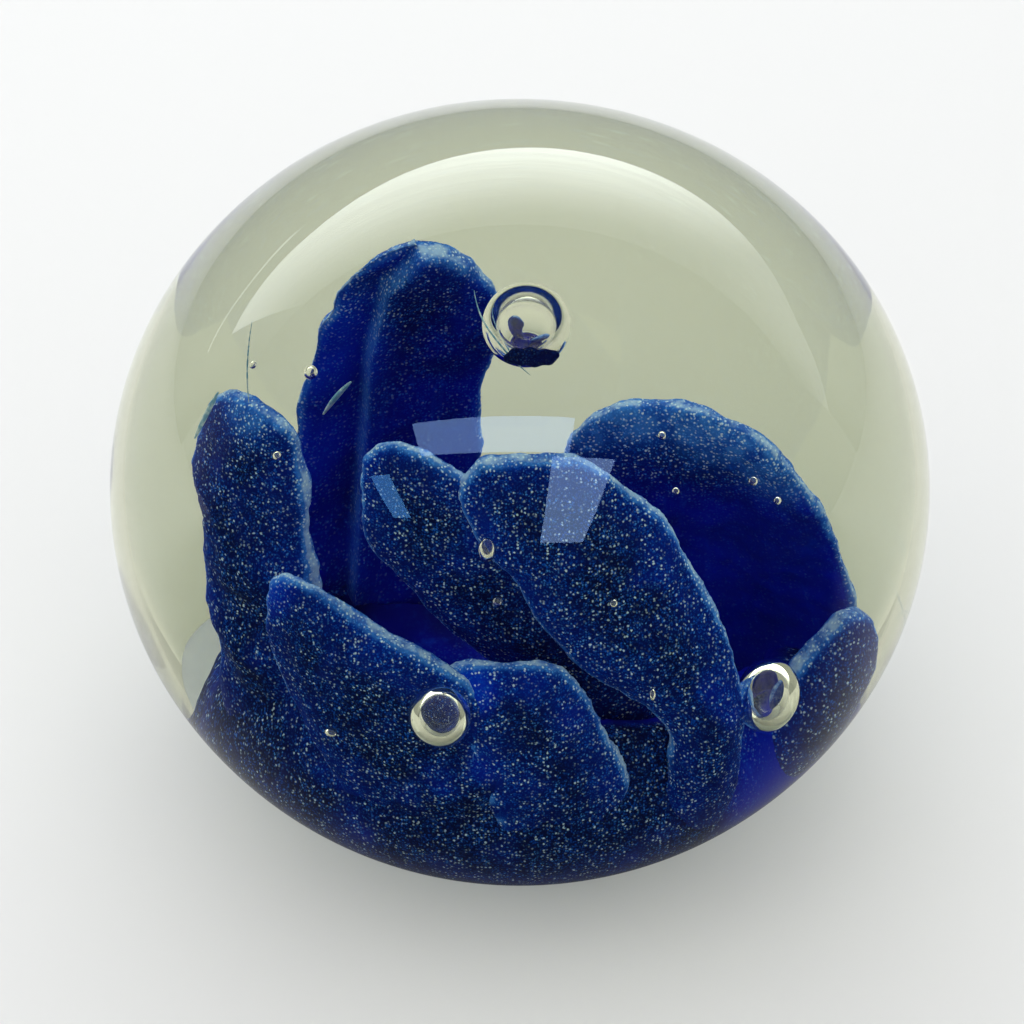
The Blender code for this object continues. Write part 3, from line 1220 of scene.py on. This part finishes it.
@dataclass
class Flower:
    """The whole flower: eight petals and the calyx."""

    # Each petal's light zones paint a glow, and its bands of pale specks paint highlights along its
    # upper edges.
    petals: tuple[FritPetal, ...] = (
        FritPetal(
            "petal_left", 225, 225, 21, 0.00022,
            frost_and_highlight=(Zone((-0.0200, -0.0040, 0.0380), 0.0040, 0.6),),
            near_edge=(
                (0.0, 0.0015), (0.3, 0.0020), (0.45, 0.0020), (0.6, 0.0010), (0.7, -0.0003),
                (0.9, -0.0008), (1.0, -0.0006),
            ),
            far_edge=((0.0, 0.0), (0.7, 0.0002), (0.9, 0.0006), (1.0, 0.0022)),
        ),
        FritPetal(
            "petal_back_left", 95, 95, 22, 0.00025, 0.45, 0.75,
            near_edge=(
                (0.0, 0.0), (0.35, 0.0008), (0.45, 0.0012), (0.55, 0.0006), (0.65, 0.0),
                (0.7, -0.0007), (0.78, -0.0014), (0.85, -0.0012), (0.93, -0.0002), (1.0, 0.0),
            ),
            far_edge=(
                (0.0, 0.0), (0.5, -0.0001), (0.6, 0.0001), (0.73, 0.0006), (0.8, 0.0002),
                (0.88, 0.0014), (0.96, 0.0010), (1.0, 0.0002),
            ),
            zones=(
                Zone((-0.0135, 0.0085, 0.030), 0.0070, 1.0),
                Zone((-0.0130, 0.0085, 0.022), 0.0050, 0.7),
            ),
            frost_and_highlight=(Zone((-0.0120, 0.0085, 0.0355), 0.0045, 0.4),),
            fold=Fold(((0.012, -0.0100), (0.030, -0.0100), (0.036, -0.0092), (0.039, -0.0070))),
        ),
        FritPetal(
            "petal_back_right", 95, 85, 23, 0.00025, 0.15, 0.95,
            far_edge=((0.0, 0.0), (0.6, 0.0), (0.8, 0.0010), (1.0, 0.0006)),
            zones=(Zone((0.0150, -0.0010, 0.0180), 0.0120, 0.45),),
            frost_and_highlight=(
                Zone((0.0040, -0.0010, 0.0355), 0.0070, 0.80),
                Zone((0.0090, -0.0010, 0.0365), 0.0070, 0.85),
                Zone((0.0140, -0.0010, 0.0345), 0.0070, 0.80),
                Zone((0.0180, -0.0010, 0.0300), 0.0060, 0.60),
            ),
        ),
        FritPetal(
            "petal_right", 310, 310, 24,
            near_edge=((0.0, 0.0015), (0.5, 0.0035), (1.0, 0.0040)),
        ),
        FritPetal(
            "petal_front_right", 295, 275, 25,
            near_edge=(
                (0.0, 0.0010), (0.11, 0.0024), (0.2, 0.0048), (0.32, 0.0082), (0.4, 0.0072),
                (0.5, 0.0052), (0.72, 0.0026), (0.9, -0.0005), (1.0, -0.0008),
            ),
            far_edge=((0.0, -0.0024), (0.2, -0.0022), (0.42, -0.0014), (0.55, -0.0008), (0.7, 0.0)),
            lean=((0.0, 0.0018), (0.35, 0.0016), (0.6, 0.0002), (0.7, 0.0)),
        ),
        FritPetal(
            "petal_centre", 285, 250, 26,
            near_edge=((0.0, 0.0085), (0.25, 0.0078), (0.4, 0.0052), (0.55, 0.0020), (0.7, 0.0)),
            far_edge=((0.0, 0.0), (0.6, 0.0005), (0.8, 0.0024), (0.92, 0.0038), (1.0, 0.0034)),
            zones=(Zone((-0.0125, -0.0090, 0.0400), 0.0045, 0.9),),
        ),
        FritPetal(
            "petal_front_left", 260, 240, 27,
            near_edge=(
                (0.0, 0.0024), (0.45, 0.0019), (0.56, 0.0013), (0.83, 0.0008), (0.93, 0.0002),
                (1.0, 0.0),
            ),
            far_edge=(
                (0.0, 0.0), (0.2, 0.0008), (0.4, 0.0016), (0.6, 0.0024), (0.7, 0.0032),
                (0.77, 0.0034), (0.82, 0.0028), (0.88, -0.0004), (0.95, -0.0014), (1.0, -0.0010),
            ),
            zones=(Zone((-0.0185, -0.0140, 0.0305), 0.0040, 0.9),),
        ),
        FritPetal(
            "petal_front", 275, 270, 28,
            far_edge=(
                (0.0, -0.0045), (0.4, -0.0043), (0.55, -0.0042), (0.75, -0.0030), (0.87, -0.0020),
                (1.0, -0.0008),
            ),
            zones=(Zone((-0.0035, -0.0205, 0.0255), 0.0030, 1.0),),
        ),
    )
    calyx: Calyx = field(default_factory=Calyx)

    def make(self, finish: Material) -> None:
        """Build and dress every piece of the flower.

        Args:
            finish: The cobalt glass of all of them.
        """
        for petal in self.petals:
            made = petal.build()
            petal.dress(made, finish)
            LOG.info("petal %s: %d faces", made.name, len(made.data.polygons))
        bowl = self.calyx.build()
        self.calyx.dress(bowl, finish)
        LOG.info("calyx: %d faces", len(bowl.data.polygons))


# ---- studio


@dataclass(frozen=True)
class WindowGlow:
    """Daylight from a wide window over a sill, with one bright line of light below it.

    The strength is the pane's, the line is the bright line's, and the wall is the glow of
    the wall round them. The sill is a height, and left is the pane's left side.
    """

    name: str = "window_glow"
    colour: tuple = (0.96, 1.0, 1.0)
    strength: float = 5.4
    line: float = 2.2
    wall: float = 0.42
    sill: float = 0.262
    left: float = -0.88

    def make(self) -> Material:
        """Build the material.

        Returns:
            The material.
        """
        made, graph = new_material(self.name)
        along, up = graph.along("X"), graph.along("Z")
        edge = along.ramp(self.left - 0.01, self.left)

        # The pane, which is brightest low down, over a sill that rises to both sides.
        dip = along.ramp(-0.45, 0.10, 0.083, 0.0)
        rise = along.ramp(0.15, 0.95, 0.0, 0.13)
        above = up - dip - rise - self.sill
        sides = along.ramp(-0.9, 0.0, 0.55, 1.0) * along.ramp(0.05, 0.55, 1.0, 0.20)
        slats = graph.noise(graph.place((0.5, 1.0, 24.0)), 0.5, 1.0).ramp(0.40, 0.60, 0.90, 1.0)
        pane = sides * above.ramp(0.0, 0.48, 1.0, 0.06) * above.ramp(-0.004, 0.0) * slats

        # The bright line below the sill, at the left.
        off = up - along.ramp(-0.95, -0.50, 0.205, 0.275)
        line = off.ramp(-0.007, -0.002) * off.ramp(0.002, 0.007, 1.0, 0.0)
        line = line * along.ramp(-0.42, -0.36, 1.0, 0.0)

        wall = along.ramp(-1.6, -0.9, 0.0, self.wall) * along.ramp(1.0, 1.8, 1.0, 0.0)
        glow = (pane * self.strength + line * self.line) * edge + wall
        inputs = {"Color": (*self.colour, 1.0), "Strength": glow}
        graph.finish(graph.add("ShaderNodeEmission", None, inputs))
        return made


@dataclass
class Studio:
    """Floor, sky, the window behind and the softboxes above.

    The sky lights the scene. The dome's skin mirrors the dark room instead, with the far
    wall's glow behind.
    """

    floor_size: float = 6.0
    floor_level: float = -0.0002
    sky: float = 0.80
    dark_room: float = 0.02
    far_wall: float = 0.42
    window_far: float = 0.5
    window_wide: float = 3.4
    window_middle: float = 0.10
    window_low: float = 0.0
    window_high: float = 0.78
    ceiling: float = 0.8

    def make(self) -> None:
        """Lay the floor, set the sky and hang the lights."""
        self._floor()
        self._sky()
        self._window()
        self._ceiling_lamp("lamp_bar", (-0.105, -0.40), (0.60, 0.16), 6.0, (0.30, 0.50, 1.0))
        self._ceiling_lamp("lamp_right", (0.264, -0.83), (0.27, 0.66), 6.0, (0.34, 0.54, 1.0))
        self._ceiling_lamp("lamp_left", (-0.675, -0.74), (0.13, 0.34), 5.5, (0.12, 0.42, 1.0))
        self._ceiling_lamp("lamp_key", (-0.25, 0.10), (1.2, 1.2), 0.85, (1.0, 0.99, 0.97), False)

    def _floor(self) -> None:
        """Lay the floor."""
        deselect_all()
        place = (0.0, 0.0, self.floor_level)
        bpy.ops.mesh.primitive_plane_add(size=self.floor_size, location=place)
        floor = bpy.context.object
        floor.name = "floor"
        settle(floor).data.materials.append(FloorPaper().make())

    def _sky(self) -> None:
        """Soft light from all round, with a dark room to be mirrored in the dome's skin."""
        world = bpy.data.worlds.new("studio_sky")
        bpy.context.scene.world = world
        world.use_nodes = True
        graph = Graph(world.node_tree)
        back, up = graph.along("Y", "Generated"), graph.along("Z", "Generated")
        room = back.ramp(-0.05, 0.35) * up.ramp(0.0, 0.5, self.far_wall, 0.0) + self.dark_room
        mirrored = graph.mirrored()
        strength = mirrored * room + (1.0 - mirrored) * self.sky
        inputs = {"Strength": strength, "Color": (1, 1, 1, 1)}
        sky = graph.add("ShaderNodeBackground", None, inputs)
        graph.add("ShaderNodeOutputWorld", None, {"Surface": sky}, None)

    def _window(self) -> None:
        """Stand the window behind the dome."""
        deselect_all()
        bpy.ops.mesh.primitive_grid_add(
            x_subdivisions=12, y_subdivisions=6, size=1.0, rotation=(math.radians(90), 0, 0)
        )
        window = bpy.context.object
        window.name = "window"
        tall = self.window_high - self.window_low
        window.scale = (self.window_wide, tall, 1.0)
        window.location = (self.window_middle, self.window_far, self.window_low + 0.5 * tall)
        settle(window)
        window.data.materials.append(WindowGlow().make())
        window.visible_camera = False

    def _ceiling_lamp(
        self,
        name: str,
        place: tuple[float, float],
        size: tuple[float, float],
        glow: float,
        colour: tuple[float, float, float],
        mirrored: bool = True,
    ) -> None:
        """Hang one flat softbox at the ceiling.

        Args:
            name: The light's name.
            place: X and Y of its middle.
            size: Its width and depth.
            glow: Its radiance.
            colour: Its colour.
            mirrored: Whether it shows in the dome's skin. If not, it lights the scene.
        """
        lamp = bpy.data.lights.new(name, "AREA")
        lamp.shape = "RECTANGLE"
        lamp.size, lamp.size_y = size
        lamp.color = colour
        lamp.energy = glow * size[0] * size[1] * math.pi
        light = link(bpy.data.objects.new(name, lamp))
        light.location = (*place, self.ceiling)
        light.visible_camera = False
        light.visible_transmission = False
        light.visible_glossy = mirrored
        light.visible_diffuse = not mirrored


@dataclass
class Viewpoint:
    """The camera, which looks a little below and to the left of the target."""

    elevation: float = 40.0
    distance: float = 0.240
    lens: float = 85.6
    target: Place = (0.0, 0.0, 0.0280)
    lower: float = 0.00266
    left: float = 0.00073

    def make(self) -> None:
        """Place and aim the camera."""
        rise = math.radians(self.elevation)
        out = Vector((0.0, -math.cos(rise), math.sin(rise)))
        up = Vector((0.0, math.sin(rise), math.cos(rise)))
        spot = Vector(self.target) + out * self.distance
        aim = Vector(self.target) - up * self.lower - Vector((self.left, 0.0, 0.0))
        data = bpy.data.cameras.new("camera")
        data.lens, data.sensor_width = self.lens, 36.0
        data.clip_start = 0.01
        camera = link(bpy.data.objects.new("camera", data))
        camera.location = spot
        camera.rotation_euler = (aim - spot).to_track_quat("-Z", "Y").to_euler()
        bpy.context.scene.camera = camera


@dataclass(frozen=True)
class LightPaths:
    """How often light may turn in the glass before it is given up."""

    bounces: int = 40
    mirrored: int = 32
    passed: int = 24

    def make(self) -> None:
        """Set the limits on the scene."""
        cycles = bpy.context.scene.cycles
        cycles.max_bounces, cycles.glossy_bounces = self.bounces, self.mirrored
        cycles.transmission_bounces = cycles.transparent_max_bounces = self.passed


def main() -> None:
    """Build the paperweight, the studio and the camera."""
    logging.basicConfig(level=logging.INFO, format="%(name)s: %(message)s")
    dome = GlassDome()
    glass = dome.build()
    dome.dress(glass)
    LOG.info("dome: %d faces", len(glass.data.polygons))
    Flower().make(CobaltFrit().make())
    smoke = CobaltFrit("cobalt_smoke_look", depth=SMOKE_DEPTH, streak=SMOKE_STREAK)
    Tracery().make(PaleThread().make(), smoke.make())
    Studio().make()
    Viewpoint().make()
    LightPaths().make()
    bpy.context.scene.view_settings.view_transform = "Standard"


if __name__ == "__main__":
    main()
